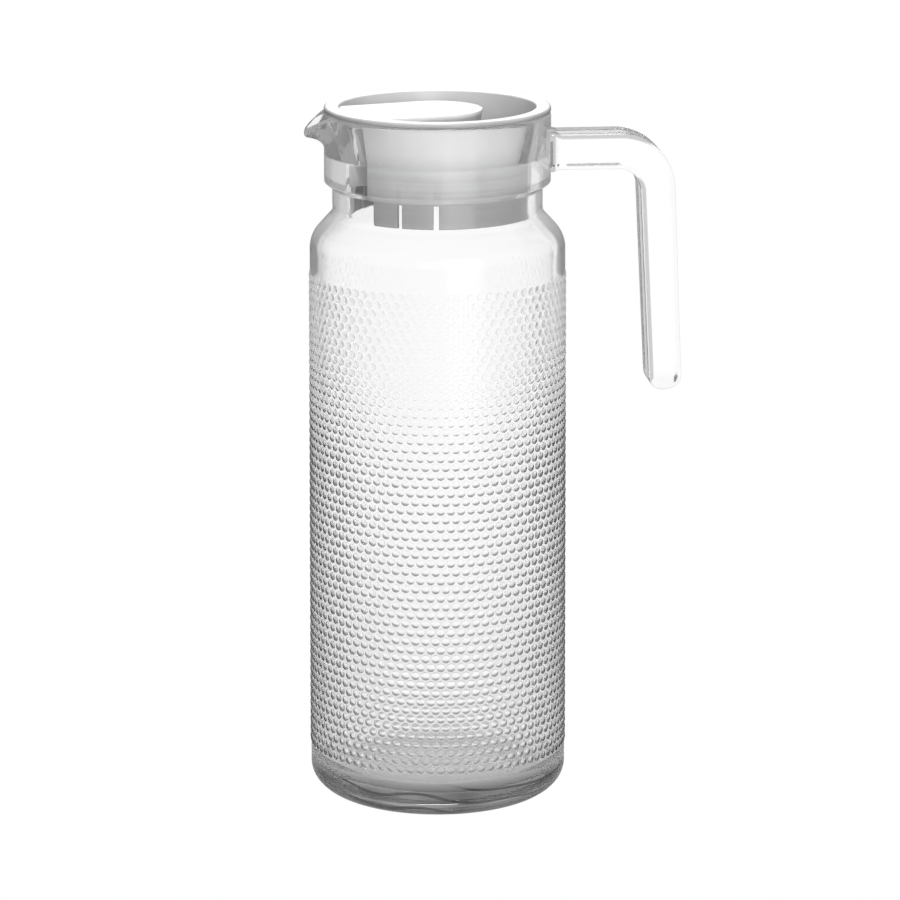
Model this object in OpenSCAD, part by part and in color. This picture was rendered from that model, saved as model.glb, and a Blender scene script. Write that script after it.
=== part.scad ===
// Glass pitcher with a pour-through lid, in millimetres.
// The origin is the middle of the face it stands on: +Z is up, +X runs to the handle, -X to the spout.
// The glass is one pressed piece and the lid is one moulding. Each is drawn as a few named regions
// that meet face to face, so that every wall and hollow can be handled by itself.

/* [Body] */
// Outside diameter of the body, just under its shoulder
body_d = 95; // [86:1:106]
// Outside diameter of the body, just above its heel
body_low_d = 96.2; // [86:0.2:108]
// Height of the glass, from the table to its rim
glass_h = 260.5; // [240:0.5:300]
// Thickness of the body wall
wall_t = 4.6; // [3:0.1:6]
// Height of the inside floor above the table
floor_h = 9.5; // [6:0.5:14]
// Height of the rounded heel
heel_h = 11; // [6:0.5:14]
// Width of the rounded heel, from the body in to the foot
heel_w = 14; // [8:0.5:15]
// Radius of the rounded corner inside, where wall meets floor
floor_corner_r = 9; // [4:0.5:14]
// Inner diameter of the ring the glass stands on
foot_d = 60; // [40:1:64]
// Height of the shallow hollow under the base
punt_h = 1.6; // [0.5:0.1:3]
// Radius of the rounded shoulder
shoulder_r = 12; // [4:0.5:16]
// Height of the sloping shoulder
shoulder_h = 9.4; // [6:0.2:14]

/* [Neck and rim] */
// Outside diameter of the neck
neck_d = 78; // [74:0.5:81]
// Height of the straight neck
neck_h = 9; // [6:0.5:14]
// Radius of the hollow corner between neck and shoulder
neck_corner_r = 4; // [1:0.5:6]
// Outside diameter of the collar round the mouth
collar_d = 84; // [82:0.5:90]
// Height of the collar
collar_h = 26; // [22:0.5:32]
// Height of the slope under the collar
collar_slope_h = 2.3; // [1:0.1:4]
// Diameter of the straight bore through the neck
bore_d = 68; // [62:0.5:70]
// Depth of the flared seat inside the mouth
seat_h = 16.5; // [12:0.5:20]
// Thickness of the rounded rim
rim_t = 3.2; // [2:0.1:4]

/* [Spout] */
// How far the tip stands out from the collar
spout_reach = 7.6; // [4:0.2:12]
// How far the tip lies below the rim
spout_drop = 9; // [4:0.2:10]
// Height of the collar that the spout takes up, from the rim down
spout_h = 13.6; // [12:0.2:16]
// Angle from the middle of the spout to its edge
spout_a = 20; // [14:1:28]

/* [Handle] */
// Width of the handle, side to side
handle_w = 18.9; // [14:0.5:24]
// Thickness of the level arm
arm_t = 13.4; // [9:0.1:16]
// Depth of the arm's top face below the rim
arm_drop = 8.4; // [5:0.5:12]
// Distance from the collar to the outer face of the grip
handle_reach = 46; // [40:1:60]
// Radius of the bend, on its outer side
bend_r = 21.5; // [18:0.5:30]
// Thickness of the grip just below the bend
grip_t = 12.9; // [9:0.1:15]
// Thickness of the grip near its end
grip_end_t = 12.3; // [8:0.1:14]
// Height of the handle, from the arm's top face to the grip's end
handle_h = 98; // [70:1:130]
// Angle at which the grip leans away from the body
grip_lean = 2.4; // [0:0.1:5]
// Radius of the handle's rounded long edges
handle_edge_r = 2; // [1:0.1:4]

/* [Lid] */
// Angle the lid is turned from pouring straight into the spout
lid_turn = 16; // [0:1:180]
// Thickness of the rim plate that rests on the glass
plate_t = 1.8; // [1.2:0.1:3]
// Gap between the rim plate and the glass
seat_gap = 0.2; // [0.1:0.05:0.5]
// Gap all round between the plug and the glass
plug_gap = 0.4; // [0.3:0.05:0.8]
// Wall thickness of the plug
plug_t = 1.7; // [1:0.1:2.5]
// Height of the plug below the rim plate
plug_h = 39.2; // [32:0.2:50]
// Depth of the finger well, from the top of the lid
well_h = 28.9; // [18:0.1:30]
// Thickness of the floor of the finger well
well_floor_t = 1.6; // [1:0.1:2.5]
// Width of the slits in the skirt
slit_w = 1.8; // [0.8:0.1:2.4]
// Height of the slits, from the lower edge of the skirt
slit_h = 9.6; // [4:0.2:10]
// Angle from the pour channel to the first slit
first_slit_a = 45; // [35:1:60]
// Angle between neighbouring slits
slit_step_a = 22.5; // [10:0.5:30]
// Number of slits on each side
slits_a_side = 2; // [1:1:4]

/* [Pour channel] */
// Width of the tongue that roofs the channel
tongue_w = 35; // [26:0.5:40]
// Depth of the tongue's top below the top of the lid
tongue_drop = 1.1; // [0.5:0.1:4]
// Thickness of the tongue
tongue_t = 1.8; // [1.2:0.1:3]
// Distance from the lid's centre to the middle of the tongue's round end
tongue_shift = 1; // [0:0.1:6]
// Outside width of the channel below the flared seat
channel_w = 30.6; // [24:0.2:36]
// Wall thickness of the channel
channel_t = 1.8; // [1.2:0.1:2.5]

/* [Hidden] */
$fn = 96;
overrun = 1;
arc_steps = 10;
heel_steps = 14;
hull_fn = 32;
glass_colour = [0.84, 0.89, 0.89, 0.5];
lid_colour = [0.7, 0.71, 0.72];

// Radii and heights of the glass
body_r = body_d / 2;
body_low_r = body_low_d / 2;
inside_r = body_r - wall_t;
inside_low_r = body_low_r - wall_t;
foot_r = foot_d / 2;
neck_r = neck_d / 2;
collar_r = collar_d / 2;
bore_r = bore_d / 2;
rim_r = rim_t / 2;
mouth_r = collar_r - rim_t;
collar_z = glass_h - collar_h;
neck_top_z = collar_z - collar_slope_h;
neck_z = neck_top_z - neck_h;
shoulder_z = neck_z - shoulder_h;
seat_z = glass_h - seat_h;
spout_z = glass_h - spout_h;

// Walls inside the shoulder lie square to the slope outside
slope_a = atan2(body_r - neck_r, shoulder_h);
neck_t = neck_r - bore_r;
inside_shoulder_z = shoulder_z - wall_t * tan(slope_a / 2);
inside_neck_z = neck_z - neck_t * tan(slope_a / 2);
inside_shoulder_r = shoulder_r - wall_t;
inside_neck_r = neck_corner_r + neck_t;

// Heights of the lid
plate_z = glass_h + seat_gap;
lid_top_z = plate_z + plate_t;
skirt_z = plate_z - plug_h;
well_z = lid_top_z - well_h;
well_under_z = well_z - well_floor_t;
tongue_z = lid_top_z - tongue_drop;
tongue_under_z = tongue_z - tongue_t;
plug_r = bore_r - plug_gap;
plug_top_r = mouth_r - plug_gap;

// The most of an edge that one rounded corner may use up
corner_share = 0.49;
// How the spout bends: powers of the height, for its reach and for its drop
reach_power = 1.6;
drop_power = 1.4;
// How it narrows to its sides: powers of the share that a slice has, for its reach and for its drop
lip_power = 0.75;
sag_power = 1.25;
spout_sides = 24;
spout_rows = 7;
bend_sections = 14;
grip_sections = 4;
end_sections = 7;
edge_steps = 4;
arm_inset_share = 0.8;

function unit(v) = v / norm(v);
function turned(v, a) = [v[0] * cos(a) - v[1] * sin(a), v[0] * sin(a) + v[1] * cos(a)];
function turn_between(u, v) = atan2(u[0] * v[1] - u[1] * v[0], u * v);

// Arc that rounds the corner b between a and c
function corner(a, b, c, r) =
    let (way_in = unit(b - a))
    let (bend = turn_between(way_in, unit(c - b)))
    let (longest = corner_share * min(norm(b - a), norm(c - b)))
    let (reach = min(r * tan(abs(bend) / 2), longest))
    let (radius = reach / tan(abs(bend) / 2))
    let (first = b - way_in * reach)
    let (centre = first + turned(way_in, sign(bend) * 90) * radius)
    [for (i = [0 : arc_steps]) centre + turned(first - centre, i * bend / arc_steps)];

// Outline through points [x, y, corner radius]; its first and last points stay sharp
function rounded(path) = [
    for (i = [0 : len(path) - 1])
        let (here = [path[i][0], path[i][1]])
        each (i == 0 || i == len(path) - 1 || path[i][2] == 0) ? [here] :
            corner([path[i - 1][0], path[i - 1][1]], here, [path[i + 1][0], path[i + 1][1]], path[i][2])
];

// Inside radius of the flared seat at height z
function seat_r(z) = bore_r + (mouth_r - bore_r) * max(0, z - seat_z) / seat_h;

// Quarter ellipse of the heel, from the foot up to the body
heel = [for (i = [0 : heel_steps])
    let (a = 90 * i / heel_steps)
    [body_low_r - heel_w * (1 - sin(a)), heel_h * (1 - cos(a)), 0]];

// Half section of the glass
module glass_section() {
    polygon(rounded(concat([
        [0, punt_h, 0],
        [foot_r - punt_h, punt_h, 2 * punt_h],
        [foot_r, 0, punt_h / 2]],
        heel, [
        [body_r, shoulder_z, shoulder_r],
        [neck_r, neck_z, neck_corner_r],
        [neck_r, neck_top_z, 0],
        [collar_r, collar_z, 0],
        [collar_r, glass_h, rim_r],
        [mouth_r, glass_h, rim_r],
        [bore_r, seat_z, 0],
        [bore_r, inside_neck_z, inside_neck_r],
        [inside_r, inside_shoulder_z, inside_shoulder_r],
        [inside_low_r, floor_h, floor_corner_r],
        [0, floor_h, 0],
    ])));
}

// Wedge of the collar that the spout takes the place of
module spout_wedge() {
    far = collar_r + overrun;
    half_w = far * tan(spout_a);
    translate([0, 0, spout_z])
        linear_extrude(spout_h + overrun)
            polygon([[0, 0], [-far, half_w], [-far, -half_w]]);
}

module glass_body() {
    color(glass_colour)
        difference() {
            rotate_extrude() glass_section();
            spout_wedge();
        }
}

// One slice of the collar, its wall bent out and down by the share that the spout has there
function spout_slice(share) = [
    for (p = concat(
        [for (i = [0 : spout_rows - 1])
            let (z = spout_z + i * (spout_h - rim_t) / spout_rows) [seat_r(z), z]],
        rounded([
            [seat_r(glass_h - rim_t), glass_h - rim_t, 0],
            [mouth_r, glass_h, rim_r],
            [collar_r, glass_h, rim_r],
            [collar_r, glass_h - rim_t, 0],
        ]),
        [for (i = [spout_rows - 1 : -1 : 0])
            [collar_r, spout_z + i * (spout_h - rim_t) / spout_rows]]))
        let (rise = (p[1] - spout_z) / spout_h)
        let (reach = spout_reach * pow(share, lip_power))
        let (drop = spout_drop * pow(share, sag_power))
        let (foot = [collar_r + reach * pow(rise, reach_power), p[1] - drop * pow(rise, drop_power)])
        let (along = unit([
            reach * reach_power * pow(rise, reach_power - 1),
            spout_h - drop * drop_power * pow(rise, drop_power - 1)]))
        let (bent = foot - (collar_r - p[0]) * [along[1], -along[0]])
        [max(bent[0], seat_r(min(bent[1], glass_h))), bent[1]]
];

// Faces of a tube through rings of equal length, closed at both ends
function tube_faces(rings, n) = concat(
    [for (i = [0 : rings - 2], j = [0 : n - 1])
        let (next = (j + 1) % n)
        each [[i * n + j, i * n + next, (i + 1) * n + next], [i * n + j, (i + 1) * n + next, (i + 1) * n + j]]],
    [[for (j = [n - 1 : -1 : 0]) j]],
    [[for (j = [0 : n - 1]) (rings - 1) * n + j]]
);

module glass_spout() {
    slices = [
        for (i = [0 : spout_sides])
            let (a = spout_a * (2 * i / spout_sides - 1))
            let (share = (1 + cos(180 * a / spout_a)) / 2)
            [for (p = spout_slice(share)) [-p[0] * cos(a), p[0] * sin(a), p[1]]]
    ];
    color(glass_colour)
        polyhedron([for (s = slices) each s], tube_faces(len(slices), len(slices[0])), convexity = 6);
}

// Rounded rectangle of the handle's cross-section: [across, inward from the outer face]
function handle_ring(w, t, r) = [
    for (k = [0 : 3], i = [0 : edge_steps])
        let (a = 90 * k + 90 * i / edge_steps)
        let (across = (k == 0 || k == 3) ? w / 2 - r : r - w / 2)
        let (inward = (k == 0 || k == 1) ? t - r : r)
        [across + r * cos(a), inward + r * sin(a)]
];

// One cross-section of the handle: the outer face's middle, the way inward, width, thickness, edge radius
function handle_slice(at, inward, w, t, r) = [
    for (p = handle_ring(w, t, r)) [at[0] + inward[0] * p[1], p[0], at[1] + inward[1] * p[1]]
];

module glass_handle() {
    arm_z = glass_h - arm_drop;
    outer_x = collar_r + handle_reach;
    bend_x = outer_x - bend_r;
    bend_z = arm_z - bend_r;
    bend_a = 90 - grip_lean;
    grip_top = [bend_x + bend_r * cos(grip_lean), bend_z + bend_r * sin(grip_lean)];
    down = [sin(grip_lean), -cos(grip_lean)];
    inward = [-cos(grip_lean), -sin(grip_lean)];
    end_r = grip_end_t / 2;
    grip_h = (grip_top[1] - arm_z + handle_h) / cos(grip_lean) - end_r;
    arm = [for (x = [collar_r * arm_inset_share, (collar_r + bend_x) / 2])
        handle_slice([x, arm_z], [0, -1], handle_w, arm_t, handle_edge_r)];
    bend = [for (i = [0 : bend_sections])
        let (a = 90 - i * bend_a / bend_sections)
        let (t = arm_t + (grip_t - arm_t) * i / bend_sections)
        handle_slice([bend_x + bend_r * cos(a), bend_z + bend_r * sin(a)],
            [-cos(a), -sin(a)], handle_w, t, handle_edge_r)];
    grip = [for (i = [1 : grip_sections])
        let (t = grip_t + (grip_end_t - grip_t) * i / grip_sections)
        handle_slice(grip_top + down * grip_h * i / grip_sections, inward, handle_w, t, handle_edge_r)];
    end = [for (i = [1 : end_sections])
        let (a = 90 * i / (end_sections + 1))
        let (shrink = end_r * (1 - cos(a)))
        let (t = grip_end_t - 2 * shrink)
        handle_slice(grip_top + down * (grip_h + end_r * sin(a)) + inward * shrink,
            inward, handle_w - 2 * shrink, t, min(handle_edge_r, corner_share * t))];
    slices = concat(arm, bend, grip, end);
    color(glass_colour)
        difference() {
            polyhedron([for (s = slices) each s], tube_faces(len(slices), len(slices[0])), convexity = 6);
            translate([0, 0, collar_z])
                cylinder(r = collar_r, h = collar_h);
        }
}

// Radius of the finger well's flared upper wall at height z
function well_r(z) = plug_r - plug_t + (plug_top_r - plug_r) * (z - seat_z) / (lid_top_z - seat_z);

// Half section of the lid without its channel: rim plate, flared plug, floor and the wall between them
module lid_section() {
    polygon(rounded([
        [0, well_under_z, 0],
        [plug_r, well_under_z, 0],
        [plug_r, seat_z, 0],
        [plug_top_r, plate_z, 0],
        [collar_r, plate_z, plate_t / 4],
        [collar_r, lid_top_z, plate_t / 2],
        [well_r(lid_top_z), lid_top_z, plate_t / 3],
        [plug_r - plug_t, seat_z, 0],
        [plug_r - plug_t, well_z, plug_t],
        [0, well_z, 0],
    ]));
}

// Half section of the finger well, up to the tongue's top face
module well_section() {
    polygon(rounded([
        [0, well_z, 0],
        [plug_r - plug_t, well_z, plug_t],
        [plug_r - plug_t, seat_z, 0],
        [well_r(tongue_z), tongue_z, 0],
        [0, tongue_z, 0],
    ]));
}

// Plan of the channel: a round end and straight sides that run out past the spout side of the lid
module channel_plan(half_w) {
    translate([-tongue_shift, 0])
        circle(r = half_w, $fn = hull_fn * 2);
    translate([-collar_r - overrun, -half_w])
        square([collar_r + overrun - tongue_shift, 2 * half_w]);
}

// Body of the channel, straight below the seat and flared above it
module channel_form(inset, low_z, high_z) {
    flare = (tongue_w - channel_w) / 2 / (tongue_z - seat_z);
    low_half_w = channel_w / 2 - inset;
    high_half_w = low_half_w + flare * (high_z - seat_z);
    slice_h = overrun / 1000;
    translate([0, 0, low_z])
        linear_extrude(seat_z - low_z)
            channel_plan(low_half_w);
    hull() {
        translate([0, 0, seat_z])
            linear_extrude(slice_h)
                channel_plan(low_half_w);
        translate([0, 0, high_z - slice_h])
            linear_extrude(slice_h)
                channel_plan(high_half_w);
    }
}

// Space inside the channel, open below and towards the spout
module channel_space() {
    channel_form(channel_t, skirt_z - overrun, tongue_under_z);
}

module lid_cap() {
    color(lid_colour)
        rotate([0, 0, lid_turn])
            difference() {
                rotate_extrude() lid_section();
                channel_space();
            }
}

module lid_channel() {
    color(lid_colour)
        rotate([0, 0, lid_turn])
            intersection() {
                difference() {
                    channel_form(0, well_z, tongue_z);
                    channel_space();
                }
                rotate_extrude() well_section();
            }
}

module lid_skirt() {
    color(lid_colour)
        rotate([0, 0, lid_turn])
            difference() {
                translate([0, 0, skirt_z])
                    cylinder(r = plug_r, h = well_under_z - skirt_z);
                translate([0, 0, skirt_z - overrun])
                    cylinder(r = plug_r - plug_t, h = well_under_z - skirt_z + 2 * overrun);
                translate([0, 0, skirt_z - overrun])
                    linear_extrude(well_under_z - skirt_z + 2 * overrun)
                        channel_plan(channel_w / 2);
                for (side = [-1, 1], i = [0 : slits_a_side - 1])
                    rotate([0, 0, 180 + side * (first_slit_a + i * slit_step_a)])
                        translate([0, -slit_w / 2, skirt_z - overrun])
                            cube([plug_r + overrun, slit_w, slit_h + overrun]);
            }
}

glass_body();
glass_spout();
glass_handle();
lid_cap();
lid_channel();
lid_skirt();
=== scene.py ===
"""Glass pitcher with a pour-through lid: the looks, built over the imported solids."""

import math

import bmesh
import bpy
import numpy as np
from bpy.props import FloatProperty, FloatVectorProperty, IntProperty, PointerProperty
from mathutils import Matrix, Vector


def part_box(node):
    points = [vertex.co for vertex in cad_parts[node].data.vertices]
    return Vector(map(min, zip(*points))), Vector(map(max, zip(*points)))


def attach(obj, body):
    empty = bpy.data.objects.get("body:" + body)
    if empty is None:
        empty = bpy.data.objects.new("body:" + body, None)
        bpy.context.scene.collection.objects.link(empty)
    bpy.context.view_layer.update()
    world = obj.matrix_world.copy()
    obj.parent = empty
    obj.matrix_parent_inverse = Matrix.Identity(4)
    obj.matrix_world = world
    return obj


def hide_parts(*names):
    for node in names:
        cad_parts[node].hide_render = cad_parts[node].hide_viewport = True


bl_info = {
    "name": "Glass Pitcher",
    "version": (1, 0, 0),
    "blender": (4, 5, 0),
    "location": "View3D > Sidebar > Pitcher",
    "description": "Builds a beaded glass pitcher with a handle, a spout and a pour-through lid",
    "category": "Object",
}

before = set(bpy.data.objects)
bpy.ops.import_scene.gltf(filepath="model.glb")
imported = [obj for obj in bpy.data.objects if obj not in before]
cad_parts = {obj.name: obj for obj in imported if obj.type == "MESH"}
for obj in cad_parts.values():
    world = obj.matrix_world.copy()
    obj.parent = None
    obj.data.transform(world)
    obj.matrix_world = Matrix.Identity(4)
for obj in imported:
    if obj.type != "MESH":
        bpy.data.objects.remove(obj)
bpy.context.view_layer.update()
GLASS_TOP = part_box("glass_body")[1][2]
LID_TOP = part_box("lid_cap")[1][2]
SKIRT_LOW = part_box("lid_skirt")[0][2]
MM = 0.001

# Points round the axis, along a rounded corner and round a bead
GLASS_STATIONS = 200
LID_STATIONS = 240
FLOOR_STATIONS = 64
ARC_STEPS = 12
BEAD_SIDES = 10

# Steps along the handle's arm, bend, grip and rounded end
ARM_STEPS = 8
BEND_STEPS = 28
GRIP_STEPS = 10
END_STEPS = 15

# Heights on the jug between which its painted shade and the unevenness of its heel change
HEEL_FADE = (11 * MM, 19 * MM)
FOOT_FADE = (20 * MM, 130 * MM)
SHOULDER_FADE = (212 * MM, 224 * MM)

# Distance from the axis where the painted line of shade at the handle's root fades
ROOT_FADE = (42.4 * MM, 43.4 * MM)

# Wavy lines of painted shade in the foot: how close they lie and how far they wander
RIPPLE_RATE = 1150.0
RIPPLE_DRIFT = 30.0

# Places of the slits on each side of the pour channel, in degrees from its middle
SLITS = (45, 67.5)

# How far cutting bodies stand past what they cut, how far joined ones overlap, and a hair that keeps two
# faces out of one plane
OVERRUN = 3 * MM
BITE = 0.3 * MM
HAIR = 0.0001 * MM


def length(name, description, default, high=1.0):
    return FloatProperty(name=name, description=description, default=default, min=0.0, max=high,
                         precision=5, subtype="DISTANCE", unit="LENGTH")


def angle(name, description, default):
    return FloatProperty(name=name, description=description, default=math.radians(default),
                         subtype="ANGLE", unit="ROTATION")


def share(name, description, default, high=1.0):
    return FloatProperty(name=name, description=description, default=default, min=0.0, max=high)


def tint(name, description, default):
    return FloatVectorProperty(name=name, description=description, default=default, size=3,
                               min=0.0, max=1.0, subtype="COLOR")


class PitcherGlass(bpy.types.PropertyGroup):
    """Sizes of the pressed glass."""
    body_r: length("Body radius", "Outside radius under the shoulder", 47.5 * MM)
    body_low_r: length("Low body radius", "Outside radius above the heel", 48.1 * MM)
    wall: length("Wall", "Thickness of the body wall", 4.6 * MM)
    floor_z: length("Inside floor", "Height of the inside floor", 9.5 * MM)
    heel_w: length("Heel width", "Width of the rounded heel", 14 * MM)
    heel_h: length("Heel height", "Height of the rounded heel", 11 * MM)
    foot_r: length("Foot radius", "Inner radius of the standing ring", 30 * MM)
    punt: length("Punt", "Depth of the hollow under the base", 1.6 * MM)
    floor_bend: length("Floor bend", "Radius between inside wall and floor", 9 * MM)
    floor_rise: length("Floor rise", "How much the inside floor rises to its middle", 0.6 * MM)
    floor_wave: length("Floor wave", "Height of the waves in the inside floor", 0.35 * MM)
    shoulder_z: length("Shoulder", "Height where the shoulder starts", 213.8 * MM)
    shoulder_bend: length("Shoulder bend", "Radius of the bend above the body", 12 * MM)
    neck_r: length("Neck radius", "Outside radius of the neck", 39 * MM)
    neck_z: length("Neck foot", "Height of the neck's foot", 223.2 * MM)
    neck_bend: length("Neck bend", "Radius of the bend under the neck", 4 * MM)
    collar_r: length("Collar radius", "Outside radius of the collar", 42 * MM)
    collar_z: length("Collar foot", "Height of the collar's foot", 234.5 * MM)
    slope: length("Collar slope", "Height of the slope under the collar", 2.3 * MM)
    bore_r: length("Bore radius", "Radius of the straight bore", 34 * MM)
    seat: length("Seat", "Depth of the flared seat", 16.5 * MM)
    rim: length("Rim", "Thickness of the rim", 3.2 * MM)
    spout_reach: length("Spout reach", "How far the spout stands out", 7.6 * MM)
    spout_drop: length("Spout drop", "How far its lip lies under the rim", 9 * MM)
    spout_h: length("Spout height", "Height of the collar that it takes up", 13.6 * MM)
    spout_a: angle("Spout half angle", "From its middle to its edge", 20)
    edge_shade: share("Edge shade", "Brightness of the glass where it is seen edge on", 0.02)


class PitcherBeads(bpy.types.PropertyGroup):
    """The beads pressed on the outside of the body."""
    round_count: IntProperty(name="Round", description="Beads in a row", default=80, min=8)
    rows: IntProperty(name="Rows", description="Rows of beads", default=55, min=2)
    low_z: length("Lowest row", "Height of the lowest row", 20.5 * MM)
    high_z: length("Highest row", "Height of the highest row", 199 * MM)
    bead_r: length("Bead radius", "Radius of a bead's foot", 1.7 * MM)
    bead_h: length("Bead height", "How far a bead stands out", 0.42 * MM)
    sunk: length("Sunk", "How far a bead's foot lies in the wall", 0.1 * MM)
    seed: IntProperty(name="Seed", description="Seed of the small differences between beads", default=7)
    edge_shade: share("Edge shade", "Brightness of a bead where it is seen edge on", 0.005)


class PitcherHandle(bpy.types.PropertyGroup):
    """Sizes of the handle."""
    width: length("Width", "Width, side to side", 18.9 * MM)
    arm: length("Arm", "Thickness of the level arm", 13.4 * MM)
    arm_drop: length("Arm drop", "Arm's top face below the rim", 8.4 * MM)
    reach: length("Reach", "From the collar to the grip's outer face", 46 * MM)
    bend_r: length("Bend", "Radius of the bend on its outer side", 21.5 * MM)
    grip: length("Grip", "Thickness of the grip under the bend", 12.9 * MM)
    grip_end: length("Grip end", "Thickness of the grip near its end", 12.3 * MM)
    height: length("Height", "From the arm's top to the grip's end", 98 * MM)
    lean: angle("Lean", "How far the grip leans away from the body", 2.4)
    edge: length("Edge", "Radius of the long edges", 2 * MM)
    root: length("Root", "Length over which the arm widens at the collar", 3.2 * MM)
    root_flare: length("Root flare", "How much it widens there on each side", 0.9 * MM)
    edge_shade: share("Edge shade", "Brightness of the bar where it is seen edge on", 0.3)


class PitcherLid(bpy.types.PropertyGroup):
    """Sizes of the lid."""
    turn: angle("Turn", "From pouring straight into the spout", 16)
    plate: length("Plate", "Thickness of the rim plate", 1.8 * MM)
    wall: length("Wall", "Thickness of the plug's wall", 1.7 * MM)
    gap: length("Gap", "Between plug and glass", 0.4 * MM)
    well: length("Well", "Depth of the finger well", 28.9 * MM)
    well_floor: length("Well floor", "Thickness of its floor", 1.6 * MM)
    slit_w: length("Slit width", "Width of the slits in the skirt", 1.8 * MM)
    slit_h: length("Slit height", "Height of the slits", 9.6 * MM)
    tongue_w: length("Tongue width", "Width of the tongue", 35 * MM)
    tongue_drop: length("Tongue drop", "Tongue's top below the lid's", 1.1 * MM)
    tongue_t: length("Tongue", "Thickness of the tongue", 1.8 * MM)
    tongue_shift: length("Tongue shift", "From the lid's middle to the tongue's round end", 1 * MM)
    channel_w: length("Channel width", "Outside width of the channel", 30.6 * MM)
    channel_wall: length("Channel wall", "Thickness of the channel's walls", 1.8 * MM)
    soft_edge: length("Soft edge", "Radius of the moulding's edges", 0.35 * MM)
    colour: tint("Colour", "Colour of the plastic", (0.50, 0.50, 0.505))
    # Brightness in the plastic's darker random tone and in its painted shade
    shade: share("Shade", "Brightness left in the darker parts of the plastic", 0.42)
    roughness: share("Roughness", "How dull the plastic is", 0.32)


class PitcherStage(bpy.types.PropertyGroup):
    """Floor, studio light and camera."""
    distance: length("Distance", "Camera to the axis, along the ground", 1.752, high=10.0)
    height: length("Height", "Camera above the floor", 0.5525, high=10.0)
    aside: length("Aside", "Camera moved to its right", 0.00465)
    azimuth: angle("Azimuth", "Camera's turn round the pitcher", -6)
    pitch: angle("Pitch", "How far the camera looks down", 13.51)
    lens: FloatProperty(name="Lens", description="Focal length on a 36 mm sensor, in millimetres",
                        default=191.92)
    floor_r: length("Floor radius", "Radius of the pale floor", 9.0, high=50.0)
    near_shade: share("Near floor", "Brightness of the floor under the glass", 0.5)
    fill: share("Fill", "Light that the floor throws back", 0.35)
    far_shade: share("Far floor", "Brightness of the far floor", 1.0, 4.0)


class Wire:
    """A socket in a node tree that takes Python's arithmetic."""

    def __init__(self, plan, socket):
        self.plan = plan
        self.socket = socket

    def maths(self, operation, *others):
        return self.plan.maths(operation, self, *others)

    def __add__(self, other):
        return self.maths("ADD", other)

    def __radd__(self, other):
        return self + other

    def __sub__(self, other):
        return self.maths("SUBTRACT", other)

    def __rsub__(self, other):
        return self.plan.maths("SUBTRACT", other, self)

    def __mul__(self, other):
        return self.maths("MULTIPLY", other)

    def __rmul__(self, other):
        return self * other

    def __truediv__(self, other):
        return self.maths("DIVIDE", other)

    def __pow__(self, other):
        return self.maths("POWER", other)

    def more(self, other):
        return self.maths("MAXIMUM", other)

    def less(self, other):
        return self.maths("MINIMUM", other)

    def ramp(self, low, high, at_low=0.0, at_high=1.0):
        """Smooth step from one value to another between two limits."""
        return self.plan.node("ShaderNodeMapRange", {"interpolation_type": "SMOOTHSTEP"},
                              {0: self, 1: low, 2: high, 3: at_low, 4: at_high})


class Plan:
    """Makes the nodes of one tree."""

    def __init__(self, tree):
        self.tree = tree
        tree.nodes.clear()

    def node(self, kind, settings=None, values=None, output=0):
        """A node with its settings and the values or links of its sockets; gives one of its outputs."""
        made = self.tree.nodes.new(kind)
        for name, value in (settings or {}).items():
            setattr(made, name, value)
        for key, value in (values or {}).items():
            if isinstance(value, Wire):
                self.tree.links.new(value.socket, made.inputs[key])
            else:
                made.inputs[key].default_value = value
        return Wire(self, made.outputs[output])

    def maths(self, operation, *values):
        return self.node("ShaderNodeMath", {"operation": operation}, dict(enumerate(values)))

    def vector(self, operation, *values, output="Vector"):
        return self.node("ShaderNodeVectorMath", {"operation": operation}, dict(enumerate(values)), output)

    def dot(self, first, second):
        return self.vector("DOT_PRODUCT", first, second, output="Value")

    def part(self, vector, axis):
        """One coordinate of a vector: 0, 1 or 2."""
        return self.node("ShaderNodeSeparateXYZ", {}, {0: vector}, axis)

    def place(self, name="Object"):
        return self.node("ShaderNodeTexCoord", output=name)

    def noise(self, vector, scale, detail=2.0):
        return self.node("ShaderNodeTexNoise", {},
                         {"Vector": vector, "Scale": scale, "Detail": detail}, "Fac")

    def ray(self, name):
        return self.node("ShaderNodeLightPath", output=name)

    def blend(self, amount, first, second):
        """A colour between two, which is the second where amount is 1."""
        return self.node("ShaderNodeMix", {"data_type": "RGBA"}, {0: amount, 6: first, 7: second}, 2)

    def show(self, surface, kind="ShaderNodeOutputMaterial"):
        """Ends the tree with what it shows."""
        self.tree.links.new(surface.socket, self.tree.nodes.new(kind).inputs["Surface"])


def material(name):
    made = bpy.data.materials.new(name)
    made.use_nodes = True
    return made, Plan(made.node_tree)


def grey(level):
    return (level, level, level, 1.0)


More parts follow.
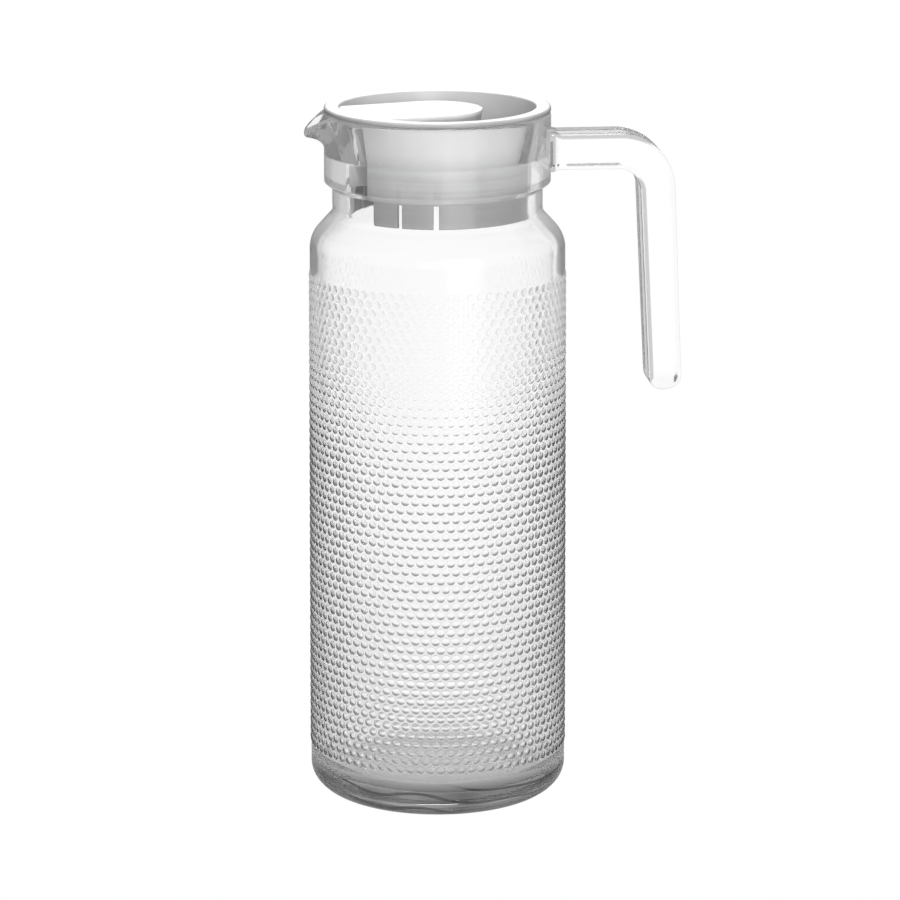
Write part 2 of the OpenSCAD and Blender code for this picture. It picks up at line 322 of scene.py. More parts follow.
def pressed_glass(name, wave, shade, edge, low_edge=None, change=(0, 1), foot=0.0, under=0.0, lines=0.0):
    """Clear pressed glass, slightly uneven, with painted shade where the eye meets it edge on.

    wave is the depth of its unevenness and shade the brightness of its painted dark parts. The painted
    shade grows from the first to the second facing of edge, or of low_edge below the heights of change.
    foot makes it wavy at the heel and paints shade there and fading up the body, under paints shade on the
    lower side of beads, and lines paints lines of shade along a bar.
    """
    made, plan = material(name)
    place, normal = plan.place(), plan.place("Normal")
    height = plan.part(place, 2)
    stretched = plan.node("ShaderNodeMapping", {}, {"Vector": place, "Scale": (1.0, 1.0, 0.45)})
    swell, cords = plan.noise(stretched, 42.0, 1.5), plan.noise(place, 160.0, 1.0)
    heel = height.ramp(*HEEL_FADE, 1.0, 0.0)
    uneven = plan.node("ShaderNodeBump", {}, {"Strength": 1.0, "Distance": wave,
                                              "Height": swell * (heel * foot + 1) + cords * 0.12})
    # Painted shade: the glass is darkened where it turns edge on to the eye
    grazing = facing = plan.node("ShaderNodeLayerWeight", {}, {"Blend": 0.5}, "Facing")
    # Painted shade on the lower side of each bead
    if under:
        grazing = facing * 0.9 - plan.part(normal, 2) * under
    start, end = edge
    if low_edge:
        up = height.ramp(*change)
        start, end = (up * (high - below) + below for high, below in zip(edge, low_edge))
    dark = grazing.ramp(start, end)
    # The painted shade of a bead is a little lighter where it faces the eye and much lighter where it is
    # seen most edge on
    if under:
        dark = dark * facing.ramp(0.25, 0.6, 0.85, 1.0) * facing.ramp(0.74, 0.94, 1.0, 0.45)
    # Painted lines of shade where the bar's faces turn, less edge shade on its underside, and a painted
    # line of shade at its root on the collar
    if lines:
        slanted = plan.dot(normal, (-0.7, 0, 0.7))
        dark = dark * plan.part(normal, 2).ramp(-0.6, 0.0, 0.15, 1.0)
        dark = dark.more(slanted.ramp(0.06, 0.2) * slanted.ramp(0.5, 0.66, 1.0, 0.0) * lines)
        dark = dark.more(plan.part(place, 0).ramp(*ROOT_FADE, 0.95, 0.0))
    # Painted shade at the foot: a darker heel with wavy lines, a grey shade fading up the body, and
    # lighter edge shade above the shoulder
    if foot:
        phase = height * RIPPLE_RATE + plan.noise(place, 17.0, 1.0) * RIPPLE_DRIFT
        ripple_shade = phase.maths("SINE").ramp(0.72, 1.0)
        painted_heel_shade = heel * (ripple_shade * 0.2 + swell * 0.24 + 0.82)
        above = height.ramp(*FOOT_FADE, 0.38, 0.0) * heel.ramp(0.0, 1.0, 1.0, 0.0)
        dark = (dark * height.ramp(*SHOULDER_FADE, 0.8, 0.28)).more(painted_heel_shade).more(above)

    # Only the first wall that a ray meets gets the painted shade, and a ray that crossed many goes
    # straight on
    crossed = plan.ray("Transmission Depth")
    colour = plan.blend(dark * (1 - crossed.less(1.0)), grey(0.995), grey(shade))
    haze = plan.noise(place, 30.0).ramp(0.3, 0.8, 0.0, 0.012)
    body = plan.node("ShaderNodeBsdfPrincipled", {}, {
        "Base Color": colour, "Roughness": haze, "IOR": 1.5,
        "Transmission Weight": 1.0, "Normal": uneven})
    straight = plan.node("ShaderNodeBsdfTransparent", {}, {"Color": grey(1.0)})
    deep = crossed.ramp(3.0, 4.0, 0.0, 0.8).more(plan.ray("Glossy Depth").ramp(0.0, 2.0))
    body = plan.node("ShaderNodeMixShader", {}, {0: deep, 1: body, 2: straight})
    clear = plan.node("ShaderNodeBsdfTransparent", {}, {"Color": grey(0.96)})
    for kind in ("Is Shadow Ray", "Is Diffuse Ray"):
        body = plan.node("ShaderNodeMixShader", {}, {0: plan.ray(kind), 1: body, 2: clear})
    plan.show(body)
    return made


def lid_plastic():
    """Satin gray plastic with fine turning marks and a random cloudy tone, with painted shade at the
    skirt, in the well and on the rim's outer edge.
    """
    lid, glass = bpy.context.scene.pitcher_lid, bpy.context.scene.pitcher_glass
    made, plan = material("lid_plastic")
    place = plan.place()
    cloud = plan.noise(place, 55.0, 3.0)
    layers = plan.node("ShaderNodeMapping", {}, {"Vector": place, "Scale": (4.0, 4.0, 900.0)})
    rings = plan.noise(layers, 1.0)
    grain = plan.noise(place, 2600.0)
    height = plan.part(place, 2)
    above, depth = height - SKIRT_LOW, LID_TOP - height
    out = plan.vector("LENGTH", plan.vector("MULTIPLY", place, (1, 1, 0)), output="Value")

    # A wall that follows the flare of the seat lies at the same value of inner all the way up
    flare = (glass.collar_r - glass.rim - glass.bore_r) / glass.seat
    inner = out - (height - (GLASS_TOP - glass.seat)) * flare
    plug = glass.bore_r - lid.gap
    wall = plug - lid.wall
    # Painted shade on the lower plug and skirt, growing downwards, crossed by the turning marks
    skirt_shade = above.ramp(18 * MM, 30 * MM, 0.65, 0.0) + above.ramp(8 * MM, 18 * MM, 0.5, 0.0)
    # Painted shade on the outer face and rounded edge of the rim plate, which narrows its highlight
    rim = depth.ramp(1.8 * MM, 2.8 * MM, 1.0, 0.0) * out.ramp(40.9 * MM, 41.6 * MM) * 0.9
    # Painted shade in the finger well, below the lid's top and inside the plug's wall
    upper = depth.ramp(0.3 * MM, 0.9 * MM) * inner.ramp(wall - 1.2 * MM, wall - 0.9 * MM)
    inside = inner.ramp(plug - 1.1 * MM, plug - 0.5 * MM, 0.7, 0.0)
    well = depth.ramp(1.5 * MM, 3.0 * MM).more(upper) * inside
    # The plastic's random tone plus the painted shade of the skirt, the rim's outer face and the well
    dark = cloud.ramp(0.35, 0.7, 0.0, 0.12) + skirt_shade * rings.ramp(0.3, 0.7, 0.8, 1.0) + rim + well
    colour = plan.blend(dark, (*lid.colour, 1.0), (*(c * lid.shade for c in lid.colour), 1.0))
    rough = (lid.roughness - 0.05) + cloud * 0.06 + rings * 0.05
    bump = plan.node("ShaderNodeBump", {}, {"Strength": 0.15, "Distance": 0.00004,
                                            "Height": grain * 0.5 + rings * 0.6})
    plan.show(plan.node("ShaderNodeBsdfPrincipled", {}, {
        "Base Color": colour, "Roughness": rough, "IOR": 1.49,
        "Specular IOR Level": 0.2, "Coat Weight": 0.05, "Coat Roughness": 0.18, "Normal": bump}))
    return made


def arc(before, here, after, radius):
    """Points that round the corner at here."""
    a, b, c = (np.array(p[:2], float) for p in (before, here, after))
    into, out = (b - a) / np.linalg.norm(b - a), (c - b) / np.linalg.norm(c - b)
    bend = math.atan2(into[0] * out[1] - into[1] * out[0], into @ out)
    if radius <= 0 or abs(bend) < 1e-4:
        return [tuple(b)]
    shorter = min(np.linalg.norm(b - a), np.linalg.norm(c - b))
    reach = min(radius * math.tan(abs(bend) / 2), 0.49 * shorter)
    radius = reach / math.tan(abs(bend) / 2)
    first = b - into * reach
    side = math.copysign(1, bend)
    centre = first + side * radius * np.array([-into[1], into[0]])
    spoke = first - centre
    points = []
    for i in range(ARC_STEPS + 1):
        turn = bend * i / ARC_STEPS
        points.append((centre[0] + spoke[0] * math.cos(turn) - spoke[1] * math.sin(turn),
                       centre[1] + spoke[0] * math.sin(turn) + spoke[1] * math.cos(turn)))
    return points


def rounded(path, support=0.8 * MM):
    """Outline through (r, z, corner radius), with a support point at each end of a long run."""
    points = []
    for i, here in enumerate(path):
        if 0 < i < len(path) - 1:
            points += arc(path[i - 1], here, path[i + 1], here[2])
        else:
            points.append(tuple(here[:2]))
    spread = [points[0]]
    for p in points[1:]:
        a, b = np.array(spread[-1]), np.array(p)
        run = np.linalg.norm(b - a)
        if run < 1e-7:
            continue
        if run > 4 * support:
            spread += [tuple(a + (b - a) * support / run), tuple(b - (b - a) * support / run)]
        spread.append(p)
    return spread


def new_piece(name, verts, faces, finish=None, smooth=True):
    mesh = bpy.data.meshes.new(name)
    mesh.from_pydata([tuple(v) for v in verts], [], faces)
    mesh.validate()
    mesh.polygons.foreach_set("use_smooth", [smooth] * len(mesh.polygons))
    if finish:
        mesh.materials.append(finish)
    piece = bpy.data.objects.new(name, mesh)
    bpy.context.scene.collection.objects.link(piece)
    return piece


def revolved(outline, angles, place):
    """Vertices and faces of an outline turned round +Z; an end that lies on the axis is closed."""
    verts, rows = [], []
    count = len(angles)
    for r, z in outline:
        if r < 1e-7:
            rows.append([len(verts)] * count)
            verts.append((0.0, 0.0, z))
        else:
            rows.append(list(range(len(verts), len(verts) + count)))
            verts += [place(r, z, a) for a in angles]
    faces = []
    for low, high in zip(rows, rows[1:]):
        for j in range(count):
            k = (j + 1) % count
            face = [low[j], low[k], high[k], high[j]]
            faces.append([v for n, v in enumerate(face) if v not in face[:n]])
    return verts, faces


def skin(rings, count):
    """Faces between rings of as many points each."""
    return [(i * count + j, i * count + (j + 1) % count,
             (i + 1) * count + (j + 1) % count, (i + 1) * count + j)
            for i in range(rings - 1) for j in range(count)]


def ring_point(r, z, a):
    return (r * math.cos(a), r * math.sin(a), z)


def outward(piece):
    """Merges doubles and turns the faces of a closed piece outwards."""
    bm = bmesh.new()
    bm.from_mesh(piece.data)
    bmesh.ops.remove_doubles(bm, verts=bm.verts, dist=1e-7)
    bmesh.ops.recalc_face_normals(bm, faces=bm.faces)
    if bm.calc_volume(signed=True) < 0:
        bmesh.ops.reverse_faces(bm, faces=bm.faces)
    bm.to_mesh(piece.data)
    bm.free()


def baked(piece):
    """Applies all modifiers of a piece."""
    graph = bpy.context.evaluated_depsgraph_get()
    graph.update()
    mesh = bpy.data.meshes.new_from_object(piece.evaluated_get(graph), depsgraph=graph)
    mesh.name = piece.name
    piece.modifiers.clear()
    piece.data = mesh
    return piece


class PITCHER_OT_glass(bpy.types.Operator):
    """Build the glass body, neck, collar and spout as one shell"""
    bl_idname = "pitcher.glass"
    bl_label = "Glass Body"

    def execute(self, context):
        g = context.scene.pitcher_glass
        top = GLASS_TOP
        mouth_r = g.collar_r - g.rim
        inside_r, inside_low_r = g.body_r - g.wall, g.body_low_r - g.wall
        slope_a = math.atan2(g.body_r - g.neck_r, g.neck_z - g.shoulder_z)
        neck_t = g.neck_r - g.bore_r
        heel = [(g.body_low_r - g.heel_w * (1 - math.sin(a)), g.heel_h * (1 - math.cos(a)), 0)
                for a in (math.radians(90 * i / 20) for i in range(21))]
        outline = rounded([
            (0, g.punt, 0),
            (g.foot_r - g.punt, g.punt, 2 * g.punt),
            (g.foot_r, 0, g.punt / 2),
            *heel,
            (g.body_r, g.shoulder_z, g.shoulder_bend),
            (g.neck_r, g.neck_z, g.neck_bend),
            (g.neck_r, g.collar_z - g.slope, 0.7 * MM),
            (g.collar_r, g.collar_z, 0.9 * MM),
            (g.collar_r, top, g.rim / 2),
            (mouth_r, top, g.rim / 2),
            (g.bore_r, top - g.seat, 3 * MM),
            (g.bore_r, g.neck_z - neck_t * math.tan(slope_a / 2), g.neck_bend + neck_t),
            (inside_r, g.shoulder_z - g.wall * math.tan(slope_a / 2), g.shoulder_bend - g.wall),
            (inside_low_r, g.floor_z, g.floor_bend),
            (0, g.floor_z + g.floor_rise, 0),
        ])
        spout_z = top - g.spout_h
        rows = []
        for (r, z), (r2, z2) in zip(outline, outline[1:]):
            rows.append((r, z))
            if min(z, z2) > spout_z - 2 * MM or (z - spout_z) * (z2 - spout_z) < 0:
                steps = int(math.hypot(r2 - r, z2 - z) / (1.3 * MM))
                rows += [(r + (r2 - r) * i / (steps + 1), z + (z2 - z) * i / (steps + 1))
                         for i in range(1, steps + 1)]
        rows.append(outline[-1])
        fine = [math.pi + math.radians(d) for d in np.arange(-24, 24.01, 1.0)]
        coarse = np.linspace(24, 336, GLASS_STATIONS - len(fine) + 2)[1:-1]
        rest = [math.pi + math.radians(d) for d in coarse]

        def bent(r, z, part):
            """A point of the collar's wall, bent out and down by the part of the lip that lies there."""
            rise = (z - spout_z) / g.spout_h
            reach, drop = g.spout_reach * part ** 0.75, g.spout_drop * part ** 1.25
            along = Vector((reach * 1.6 * rise ** 0.6, g.spout_h - drop * 1.4 * rise ** 0.4)).normalized()
            out = g.collar_r + reach * rise ** 1.6 - (g.collar_r - r) * along.y
            up = z - drop * rise ** 1.4 + (g.collar_r - r) * along.x
            seat_r = g.bore_r + (mouth_r - g.bore_r) * (min(up, top) - top + g.seat) / g.seat
            return max(out, seat_r), up

        def place(r, z, a):
            off = abs(a % (2 * math.pi) - math.pi)
            if z > spout_z and off < g.spout_a:
                r, z = bent(r, z, (1 + math.cos(math.pi * off / g.spout_a)) / 2)
            if z < g.floor_z + 3 * MM and z > g.floor_z - 0.5 * MM and r < inside_low_r - 1 * MM:
                wave = math.sin(2 * a + 0.6) + 0.5 * math.sin(3 * a - 1.1) + 0.35 * math.sin(5 * a)
                z += g.floor_wave * wave * min(1.0, r / (25 * MM))
            return ring_point(r, z, a)

        finish = pressed_glass("pressed_glass", 0.22 * MM, g.edge_shade, (0.61, 0.68), (0.74, 0.98),
                               (197 * MM, 204 * MM), foot=2.5)
        piece = new_piece("pitcher_glass", *revolved(rows, fine + rest, place), finish=finish)
        outward(piece)
        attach(piece, "jug")
        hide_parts("glass_body", "glass_spout")
        return {"FINISHED"}


def bead_dome(radius, height, sunk):
    """A low closed dome, its foot a little way under the surface that it stands on."""
    ball = (radius ** 2 + height ** 2) / (2 * height)
    steep = math.asin(min(1.0, radius / ball))
    verts, faces, sides = [], [], BEAD_SIDES
    for share_up, drop in ((1.0, sunk), (0.55, 0.0)):
        a = steep * share_up
        for i in range(sides):
            turn = 2 * math.pi * (i + 0.5) / sides
            verts.append((ball * math.sin(a) * math.cos(turn), ball * math.sin(a) * math.sin(turn),
                          ball * (math.cos(a) - math.cos(steep)) - drop))
    verts.append((0.0, 0.0, height))
    for i in range(sides):
        j = (i + 1) % sides
        faces += [(i, j, sides + j, sides + i), (sides + i, sides + j, 2 * sides)]
    faces.append(tuple(range(sides - 1, -1, -1)))
    return verts, faces


def bead_tree(finish):
    """Geometry nodes: rows of beads round a slight taper, every other row half a step on."""
    tree = bpy.data.node_groups.new("bead_rows", "GeometryNodeTree")
    face = tree.interface
    face.new_socket("Geometry", in_out="OUTPUT", socket_type="NodeSocketGeometry")
    face.new_socket("Geometry", in_out="INPUT", socket_type="NodeSocketGeometry")
    for name, kind in (("Bead", "NodeSocketObject"), ("Round", "NodeSocketInt"), ("Rows", "NodeSocketInt"),
                       ("Low Height", "NodeSocketFloat"), ("High Height", "NodeSocketFloat"),
                       ("Low Radius", "NodeSocketFloat"), ("High Radius", "NodeSocketFloat"),
                       ("Seed", "NodeSocketInt")):
        face.new_socket(name, in_out="INPUT", socket_type=kind)
    plan = Plan(tree)
    given = tree.nodes.new("NodeGroupInput")
    size = {s.name: Wire(plan, s) for s in given.outputs if s.name}
    number = plan.node("GeometryNodeInputIndex")
    row = (number / size["Round"]).maths("FLOOR")
    place = number - row * size["Round"]
    odd = row.maths("MODULO", 2.0)
    turn = (place + odd * 0.5) * (2 * math.pi) / size["Round"]
    up = row / (size["Rows"] - 1)
    out = size["Low Radius"] + up * (size["High Radius"] - size["Low Radius"])
    high = size["Low Height"] + up * (size["High Height"] - size["Low Height"])
    cos, sin = turn.maths("COSINE"), turn.maths("SINE")
    spot = plan.node("ShaderNodeCombineXYZ", {}, {0: out * cos, 1: out * sin, 2: high})
    away = plan.node("ShaderNodeCombineXYZ", {}, {0: cos, 1: sin, 2: 0.0})
    points = plan.node("GeometryNodePoints", {}, {
        "Count": size["Round"] * size["Rows"], "Position": spot})
    lie = plan.node("FunctionNodeAlignRotationToVector", {"axis": "Z"}, {"Vector": away})
    bead = plan.node("GeometryNodeObjectInfo", {},
                     {"Object": size["Bead"], "As Instance": True}, "Geometry")
    jitter = plan.node("FunctionNodeRandomValue", {"data_type": "FLOAT"},
                       {2: 0.97, 3: 1.03, "Seed": size["Seed"]}, 1)
    many = plan.node("GeometryNodeInstanceOnPoints", {}, {
        "Points": points, "Instance": bead, "Rotation": lie,
        "Scale": plan.node("ShaderNodeCombineXYZ", {}, {0: jitter, 1: jitter, 2: jitter})})
    real = plan.node("GeometryNodeRealizeInstances", {}, {"Geometry": many})
    dressed = plan.node("GeometryNodeSetMaterial", {}, {"Geometry": real, "Material": finish})
    end = tree.nodes.new("NodeGroupOutput")
    tree.links.new(dressed.socket, end.inputs[0])
    return tree


def set_inputs(modifier, values):
    for item in modifier.node_group.interface.items_tree:
        if item.item_type == "SOCKET" and item.in_out == "INPUT" and item.name in values:
            modifier[item.identifier] = values[item.name]


class PITCHER_OT_beads(bpy.types.Operator):
    """Press the rows of beads on the outside of the body"""
    bl_idname = "pitcher.beads"
    bl_label = "Beads"

    def execute(self, context):
        g, b = context.scene.pitcher_glass, context.scene.pitcher_beads
        finish = pressed_glass("bead_glass", 0.02 * MM, b.edge_shade, (0.62, 0.98), (0.0, 0.36),
                               (125 * MM, 190 * MM), under=0.8)
        dome = new_piece("bead_dome", *bead_dome(b.bead_r, b.bead_h, b.sunk), finish=finish)
        for edge in dome.data.edges:
            edge.use_edge_sharp = max(edge.vertices) < BEAD_SIDES
        piece = new_piece("glass_beads", [], [])
        modifier = piece.modifiers.new("rows", "NODES")
        modifier.node_group = bead_tree(finish)
        slope = (g.body_low_r - g.body_r) / (g.shoulder_z - g.heel_h)
        set_inputs(modifier, {
            "Bead": dome, "Round": b.round_count, "Rows": b.rows,
            "Low Height": b.low_z, "High Height": b.high_z,
            "Low Radius": g.body_low_r - slope * (b.low_z - g.heel_h),
            "High Radius": g.body_low_r - slope * (b.high_z - g.heel_h),
            "Seed": b.seed})
        baked(piece)
        bpy.data.objects.remove(dome)
        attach(piece, "jug")
        return {"FINISHED"}


def handle_ring(width, thick, edge, steps=6, flats=6):
    """Upper and lower half of a rounded rectangle, with equal stations across: [(across, inward)]."""
    half = width / 2
    upper = [(-half, edge + 0.5 * MM)]
    upper += [(-half + edge * (1 - math.cos(a)), edge * (1 - math.sin(a)))
              for a in (math.radians(90 * i / steps) for i in range(steps + 1))]
    upper += [(-half + edge + (width - 2 * edge) * i / flats, 0.0) for i in range(1, flats)]
    upper += [(half - edge * (1 - math.sin(a)), edge * (1 - math.cos(a)))
              for a in (math.radians(90 * i / steps) for i in range(steps + 1))]
    upper.append((half, edge + 0.5 * MM))
    lower = [(y, thick - t) for y, t in reversed(upper)]
    return upper + lower


class PITCHER_OT_handle(bpy.types.Operator):
    """Sweep the open bar handle"""
    bl_idname = "pitcher.handle"
    bl_label = "Handle"

    def execute(self, context):
        g, h = context.scene.pitcher_glass, context.scene.pitcher_handle
        arm_z = GLASS_TOP - h.arm_drop
        outer_x = g.collar_r + h.reach
        bend_x, bend_z = outer_x - h.bend_r, arm_z - h.bend_r
        lean = h.lean
        sunk = g.collar_r - 0.2 * MM
        slices = []

        def put(at, inward, width, thick, edge):
            slices.append([(at[0] + inward[0] * t, y, at[1] + inward[1] * t)
                           for y, t in handle_ring(width, thick, edge)])

        start = g.collar_r + 0.4 * MM
        stations = [start + (bend_x - start) * i / ARM_STEPS for i in range(ARM_STEPS + 1)]
        stations[1:1] = [start + step * MM for step in (0.8, 1.6, 2.6)]
        for x in stations:
            flare = h.root_flare * max(0.0, 1 - (x - g.collar_r) / h.root) ** 2
            put((x, arm_z + flare), (0, -1), h.width + 2 * flare, h.arm + 2 * flare, h.edge + flare)
        for i in range(1, BEND_STEPS + 1):
            along = i / BEND_STEPS
            a = math.pi / 2 - (math.pi / 2 - lean) * along
            put((bend_x + h.bend_r * math.cos(a), bend_z + h.bend_r * math.sin(a)),
                (-math.cos(a), -math.sin(a)), h.width, h.arm + (h.grip - h.arm) * along, h.edge)
        top = np.array([bend_x + h.bend_r * math.cos(lean), bend_z + h.bend_r * math.sin(lean)])
        down = np.array([math.sin(lean), -math.cos(lean)])
        inward = np.array([-math.cos(lean), -math.sin(lean)])
        end_r = h.grip_end / 2
        run = (top[1] - arm_z + h.height) / math.cos(lean) - end_r
        for i in range(1, GRIP_STEPS + 1):
            along = i / GRIP_STEPS
            put(top + down * run * along, inward, h.width, h.grip + (h.grip_end - h.grip) * along, h.edge)
        for i in range(1, END_STEPS):
            a = math.pi / 2 * i / END_STEPS
            shrink = end_r * (1 - math.cos(a))
            thick = h.grip_end - 2 * shrink
            put(top + down * (run + end_r * math.sin(a)) + inward * shrink, inward,
                h.width - 2 * shrink, thick, min(h.edge, 0.42 * thick))
        root = [(math.sqrt(sunk ** 2 - min(abs(y), sunk) ** 2), y, z) for x, y, z in slices[0]]
        slices[0] = [(max(x, math.sqrt(g.collar_r ** 2 - y ** 2) + 0.05 * MM), y, z)
                     for x, y, z in slices[0]]
        rings = [root] + slices
        n = len(root)
        verts = [p for ring in rings for p in ring]
        faces = skin(len(rings), n)
        base = (len(rings) - 1) * n
        for k in range(n // 2 - 1):
            faces.append((k, k + 1, n - 2 - k, n - 1 - k))
            faces.append((base + k, base + n - 1 - k, base + n - 2 - k, base + k + 1))
        finish = pressed_glass("handle_glass", 0.12 * MM, h.edge_shade, (0.8, 0.98), lines=0.88)
        piece = new_piece("glass_grip", verts, faces, finish=finish)
        outward(piece)
        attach(piece, "jug")
        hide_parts("glass_handle")
        return {"FINISHED"}


def cut(piece, tool, operation="DIFFERENCE"):
    modifier = piece.modifiers.new("cut", "BOOLEAN")
    modifier.operation = operation
    modifier.solver = "EXACT"
    modifier.object = tool
    baked(piece)
    bpy.data.objects.remove(tool)


def lofted(name, plans):
    """Closed solid through plans of equal length, each a list of (x, y) and a height."""
    n = len(plans[0][0])
    verts = [(x, y, z) for plan, z in plans for x, y in plan]
    faces = skin(len(plans), n)
    faces += [tuple(range(n - 1, -1, -1)), tuple(range((len(plans) - 1) * n, len(plans) * n))]
    piece = new_piece(name, verts, faces)
    outward(piece)
    return piece


class PITCHER_OT_lid(bpy.types.Operator):
    """Mould the lid: rim plate, finger well, pour channel and slit skirt"""
    bl_idname = "pitcher.lid"
    bl_label = "Lid"

    def execute(self, context):
        g, d = context.scene.pitcher_glass, context.scene.pitcher_lid
        plug_r = g.bore_r - d.gap
        plug_top_r = g.collar_r - g.rim - d.gap
        plate_z = LID_TOP - d.plate
        seat_z = GLASS_TOP - g.seat
        well_z = LID_TOP - d.well
        under_z = well_z - d.well_floor
        tongue_z = LID_TOP - d.tongue_drop
        tongue_under = tongue_z - d.tongue_t
        well_top_r = plug_top_r - d.wall
        angles = [2 * math.pi * i / LID_STATIONS for i in range(LID_STATIONS)]
        outline = rounded([
            (0, under_z, 0),
            (plug_r - d.wall, under_z, 0.5 * MM),
            (plug_r - d.wall, SKIRT_LOW, 0.5 * MM),
            (plug_r, SKIRT_LOW, 0.4 * MM),
            (plug_r, seat_z, 2.5 * MM),
            (plug_top_r, plate_z, 0.3 * MM),
            (g.collar_r, plate_z, d.plate / 4),
            (g.collar_r, LID_TOP, d.plate / 2),
            (well_top_r, LID_TOP, d.plate / 3),
            (plug_r - d.wall, seat_z, 2 * MM),
            (plug_r - d.wall, well_z, d.wall),
            (0, well_z, 0),
        ])
        piece = new_piece("lid", *revolved(outline, angles, ring_point))
        outward(piece)

        def channel_plan(half, steps=48):
            """Plan of the channel: straight out to the spout's side, and round at its other end."""
            far = -g.collar_r - 2 * MM
            bow = [(-d.tongue_shift + half * math.cos(a), half * math.sin(a))
                   for a in (math.radians(-90 + 180 * i / steps) for i in range(steps + 1))]
            return [(far, -half), *bow, (far, half)]

        low_half, high_half = d.channel_w / 2, d.tongue_w / 2
        flare = (high_half - low_half) / (tongue_z - seat_z)

        def channel(name, inset, heights):
            return lofted(name, [(channel_plan(low_half - inset + flare * max(0.0, z - seat_z)), z)
                                 for z in heights])

        body = channel("channel", 0, (well_z - BITE, seat_z, tongue_z))
        inner = rounded([
            (0, well_z - BITE, 0),
            (plug_r - d.wall + BITE, well_z - BITE, 0),
            (plug_r - d.wall + BITE, seat_z, 2 * MM),
            (well_top_r + 0.2 * MM - (well_top_r - plug_r + d.wall) * d.tongue_drop / (LID_TOP - seat_z),
             tongue_z + HAIR, 0),
            (0, tongue_z + HAIR, 0),
        ])
        keeper = new_piece("keeper", *revolved(inner, angles, ring_point))
        outward(keeper)
        cut(body, keeper, "INTERSECT")
        cut(piece, body, "UNION")
        cut(piece, channel("space", d.channel_wall, (SKIRT_LOW - OVERRUN, seat_z, tongue_under)))
        cut(piece, channel("skirt_gap", 0, (SKIRT_LOW - OVERRUN, under_z + 0.05 * MM)))
        for side in (-1, 1):
            for degrees in SLITS:
                a = math.pi + side * math.radians(degrees)
                bm = bmesh.new()
                bmesh.ops.create_cube(bm, size=1.0, matrix=Matrix.Rotation(a, 4, "Z")
                                      @ Matrix.Translation((plug_r, 0, SKIRT_LOW + d.slit_h / 2 - 1 * MM))
                                      @ Matrix.Diagonal((8 * MM, d.slit_w, d.slit_h + 2 * MM, 1)))
                mesh = bpy.data.meshes.new("slit")
                bm.to_mesh(mesh)
                bm.free()
                slit = bpy.data.objects.new("slit", mesh)
                context.scene.collection.objects.link(slit)
                cut(piece, slit)
        bm = bmesh.new()
        bm.from_mesh(piece.data)
        bmesh.ops.remove_doubles(bm, verts=bm.verts, dist=1e-6)
        bmesh.ops.dissolve_degenerate(bm, edges=bm.edges, dist=1e-6)
        bm.to_mesh(piece.data)
        bm.free()
        bevel = piece.modifiers.new("soft_edge", "BEVEL")
        bevel.width = d.soft_edge
        bevel.segments = 2
        bevel.limit_method = "ANGLE"
        bevel.angle_limit = math.radians(38)
        baked(piece)
        piece.data.transform(Matrix.Rotation(d.turn, 4, "Z"))
        piece.data.materials.clear()
        piece.data.materials.append(lid_plastic())
        piece.data.polygons.foreach_set("use_smooth", [True] * len(piece.data.polygons))
        piece.data.set_sharp_from_angle(angle=math.radians(40))
        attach(piece, "lid")
        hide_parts("lid_cap", "lid_channel", "lid_skirt")
        return {"FINISHED"}


def lamp(name, place, target, size, strength, shine_only=False):
    """A soft box that faces its target and doesn't show to the camera itself."""
    data = bpy.data.lights.new(name, "AREA")
    data.shape = "RECTANGLE"
    data.size, data.size_y = size
    data.energy = strength * size[0] * size[1] * math.pi
    made = bpy.data.objects.new(name, data)
    made.location = place
    made.rotation_mode = "QUATERNION"
    made.rotation_quaternion = (Vector(target) - Vector(place)).to_track_quat("-Z", "Y")
    made.visible_camera = made.visible_transmission = False
    made.visible_diffuse = not shine_only
    if shine_only:
        data.use_nodes = True
        plan = Plan(data.node_tree)
        across = plan.part(plan.node("ShaderNodeNewGeometry", output="Parametric"), 0)
        glow = plan.node("ShaderNodeEmission", {}, {
            "Strength": across.ramp(0.0, 0.3) * across.ramp(0.7, 1.0, 1.0, 0.0)})
        plan.show(glow, "ShaderNodeOutputLight")
    bpy.context.scene.collection.objects.link(made)


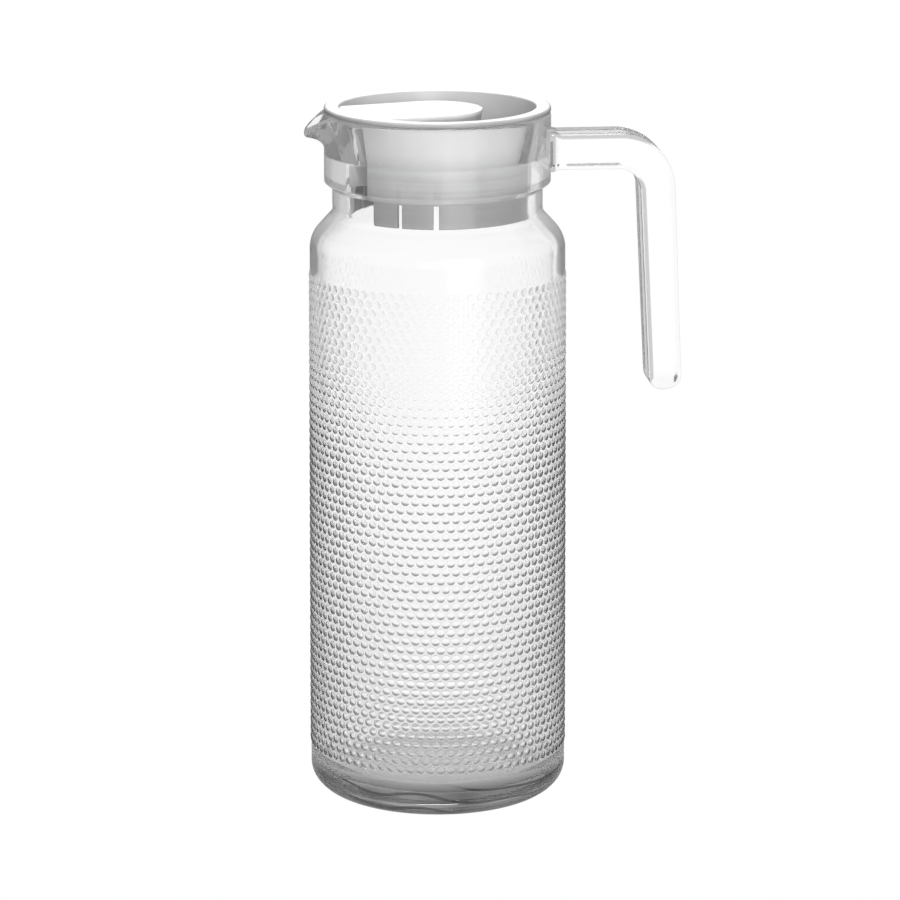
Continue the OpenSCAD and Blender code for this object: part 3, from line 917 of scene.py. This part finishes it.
class PITCHER_OT_stage(bpy.types.Operator):
    """Set the pale floor, the studio light and the camera"""
    bl_idname = "pitcher.stage"
    bl_label = "Stage"

    def execute(self, context):
        scene, s = context.scene, context.scene.pitcher_stage
        floor_mat, plan = material("pale_floor")
        away = plan.vector("LENGTH", plan.place(), output="Value")
        seen, crossed = plan.ray("Is Camera Ray"), plan.ray("Is Transmission Ray")
        # The floor glows evenly white to the camera; rays through the glass see a painted shadow under the
        # jug, and other rays a dim fill
        shade = away.ramp(40 * MM, 62 * MM, s.near_shade, s.far_shade)
        level = seen + crossed * shade + (1 - seen - crossed) * s.fill
        glow = plan.node("ShaderNodeEmission", {}, {"Color": grey(1.0), "Strength": level})
        plan.show(glow)
        low = -0.1 * MM
        angles = [2 * math.pi * i / FLOOR_STATIONS for i in range(FLOOR_STATIONS)]
        floor = new_piece("floor", *revolved([(0, low), (s.floor_r, low)], angles, ring_point),
                          finish=floor_mat, smooth=False)
        world = bpy.data.worlds.new("studio")
        scene.world = world
        world.use_nodes = True
        turn = s.azimuth
        back = Vector((math.sin(turn), -math.cos(turn), 0))
        right = Vector((math.cos(turn), math.sin(turn), 0))

        def around(degrees, distance, height):
            a = math.radians(degrees)
            return (back * math.cos(a) + right * math.sin(a)) * distance + Vector((0, 0, height))

        plan = Plan(world.node_tree)
        look = plan.place("Generated")

        def towards(way):
            return plan.dot(look, way)

        def patch(degrees, height, sharpness, strength):
            """A soft patch of light in the surround."""
            return towards(around(degrees, 1.0, height).normalized()).more(0.0) ** sharpness * strength

        # The surround shows another brightness to each kind of ray
        side = towards(right)
        through = (side * side).ramp(0.62, 0.95, 1.0, 0.9) * towards((0, 0, 1)).ramp(0.55, 0.95, 1.0, 0.9)
        mirrored = towards(back).ramp(-0.3, 0.7, 0.45, 0.7)
        lit = patch(8, 0.2, 20.0, 22.5) + patch(188, 0.3, 30.0, 15.0) + 0.09
        seen, crossed = plan.ray("Is Camera Ray"), plan.ray("Is Transmission Ray")
        shone = plan.ray("Is Glossy Ray") * (1 - crossed)
        level = seen + crossed * through + shone * mirrored + (1 - seen - crossed - shone) * lit
        sky = plan.node("ShaderNodeBackground", {}, {"Color": grey(1.0), "Strength": level})
        plan.show(sky, "ShaderNodeOutputWorld")

        middle = (0, 0, 0.2)
        lamp("top_box", (0.0, -0.05, 1.5), middle, (0.3, 0.3), 92.0)
        lamp("wide_box", around(12, 0.65, 0.28), middle, (0.9, 0.56), 0.4, shine_only=True)
        lamp("strip_box", around(23, 0.6, 0.28), middle, (0.5, 0.56), 0.7, shine_only=True)

        camera_data = bpy.data.cameras.new("camera")
        camera_data.sensor_width = 36
        camera_data.lens = s.lens
        camera_data.clip_start, camera_data.clip_end = 0.01, 100
        camera = bpy.data.objects.new("camera", camera_data)
        camera.location = back * s.distance + right * s.aside + Vector((0, 0, s.height))
        camera.rotation_euler = (math.pi / 2 - s.pitch, 0, turn)
        scene.collection.objects.link(camera)
        scene.camera = camera
        scene.view_settings.view_transform = "Standard"
        return {"FINISHED"}


class PITCHER_PT_panel(bpy.types.Panel):
    """Lists the steps that build the pitcher"""
    bl_label = "Glass Pitcher"
    bl_idname = "PITCHER_PT_panel"
    bl_space_type = "VIEW_3D"
    bl_region_type = "UI"
    bl_category = "Pitcher"

    def draw(self, context):
        for step in STEPS:
            self.layout.operator(step.bl_idname)


STEPS = (PITCHER_OT_glass, PITCHER_OT_beads, PITCHER_OT_handle, PITCHER_OT_lid, PITCHER_OT_stage)
GROUPS = {"pitcher_glass": PitcherGlass, "pitcher_beads": PitcherBeads, "pitcher_handle": PitcherHandle,
          "pitcher_lid": PitcherLid, "pitcher_stage": PitcherStage}


def register():
    for kind in (*GROUPS.values(), *STEPS, PITCHER_PT_panel):
        bpy.utils.register_class(kind)
    for name, kind in GROUPS.items():
        setattr(bpy.types.Scene, name, PointerProperty(type=kind))


def unregister():
    for name in GROUPS:
        delattr(bpy.types.Scene, name)
    for kind in reversed((*GROUPS.values(), *STEPS, PITCHER_PT_panel)):
        bpy.utils.unregister_class(kind)


def main():
    register()
    bpy.ops.pitcher.glass()
    bpy.ops.pitcher.beads()
    bpy.ops.pitcher.handle()
    bpy.ops.pitcher.lid()
    bpy.ops.pitcher.stage()


if __name__ == "__main__":
    main()
